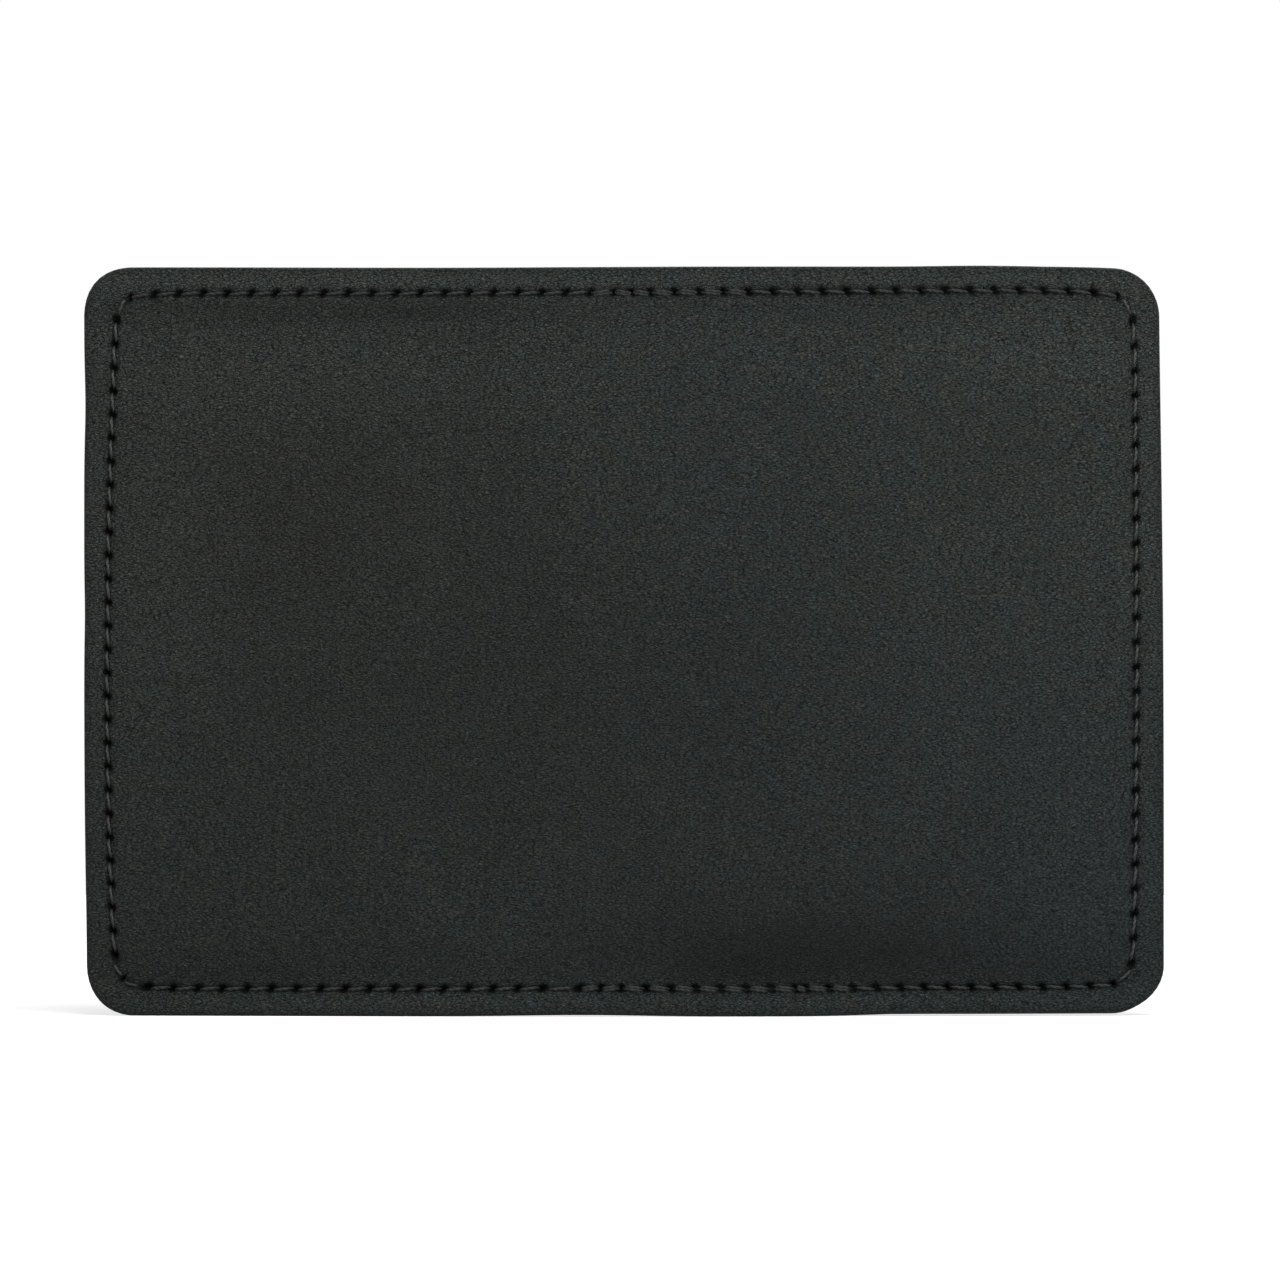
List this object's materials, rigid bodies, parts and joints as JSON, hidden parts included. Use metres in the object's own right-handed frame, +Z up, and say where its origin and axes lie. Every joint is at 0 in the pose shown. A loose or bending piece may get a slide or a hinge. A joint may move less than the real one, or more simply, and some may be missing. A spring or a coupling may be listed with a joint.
{
  "type": "money clip wallet",
  "caption": "Bifold leather wallet standing open, with card pockets in both halves and a sprung money clip on the spine.",
  "frame": {"origin": "middle of the bounding box's bottom face, below the spine", "axes": "+Z up along the fold lines, +X to the right seen from the outside, -Y out of the outer leather, +Y out of the inside"},
  "size_m": [0.1556, 0.0112, 0.108],
  "materials": {
    "outer_leather": "fine pebbled black leather, semi-matt",
    "pocket_leather": "smooth thin black leather, semi-matt",
    "lining": "fine black lining cloth",
    "board": "bonded fibre board",
    "thread": "bonded black thread, slight sheen",
    "nickel": "bright nickel plate on steel",
    "spring_steel": "drawn spring wire"
  },
  "bodies": {
    "left_half": {"left_outer_leather": "outer_leather", "left_stiffener_board": "board", "left_lining": "lining", "left_card_pocket_rear": "pocket_leather", "left_card_pocket_middle": "pocket_leather", "left_card_pocket_front": "pocket_leather", "left_outer_thread": "thread", "left_inner_thread": "thread"},
    "spine": {"spine_outer_leather": "outer_leather", "spine_lining": "lining", "spine_outer_thread_top": "thread", "spine_outer_thread_bottom": "thread", "spine_inner_thread_top": "thread", "spine_inner_thread_bottom": "thread", "clip_anchor_plate": "nickel", "clip_base": "nickel", "clip_hinge_pin": "nickel", "clip_rivet_upper": "nickel", "clip_rivet_lower": "nickel", "clip_spring": "spring_steel"},
    "right_half": {"right_outer_leather": "outer_leather", "right_stiffener_board": "board", "right_lining": "lining", "right_slip_pocket": "pocket_leather", "right_card_pocket_rear": "pocket_leather", "right_card_pocket_front": "pocket_leather", "right_outer_thread": "thread", "right_inner_thread": "thread"},
    "clip_arm": {"clip_arm": "nickel"}
  },
  "joints": [
    {"name": "left_fold", "type": "hinge", "parent": "left_half", "child": "spine", "pos_m": [-0.00825, -0.00562, 0], "axis": [0, 0, 1], "range_deg": [-6, 84]},
    {"name": "right_fold", "type": "hinge", "parent": "spine", "child": "right_half", "pos_m": [0.00825, -0.00562, 0], "axis": [0, 0, 1], "range_deg": [-6, 84]},
    {"name": "clip_lift", "type": "hinge", "parent": "spine", "child": "clip_arm", "pos_m": [0, -0.00067, 0.088], "axis": [1, 0, 0], "range_deg": [0, 100], "stiffness_Nm_per_rad": 0.08, "springref_deg": -57.3, "deforming": ["clip_spring"]}
  ],
  "couplings": [
    {"joint": "right_fold", "follows": "left_fold", "ratio": 1}
  ]
}
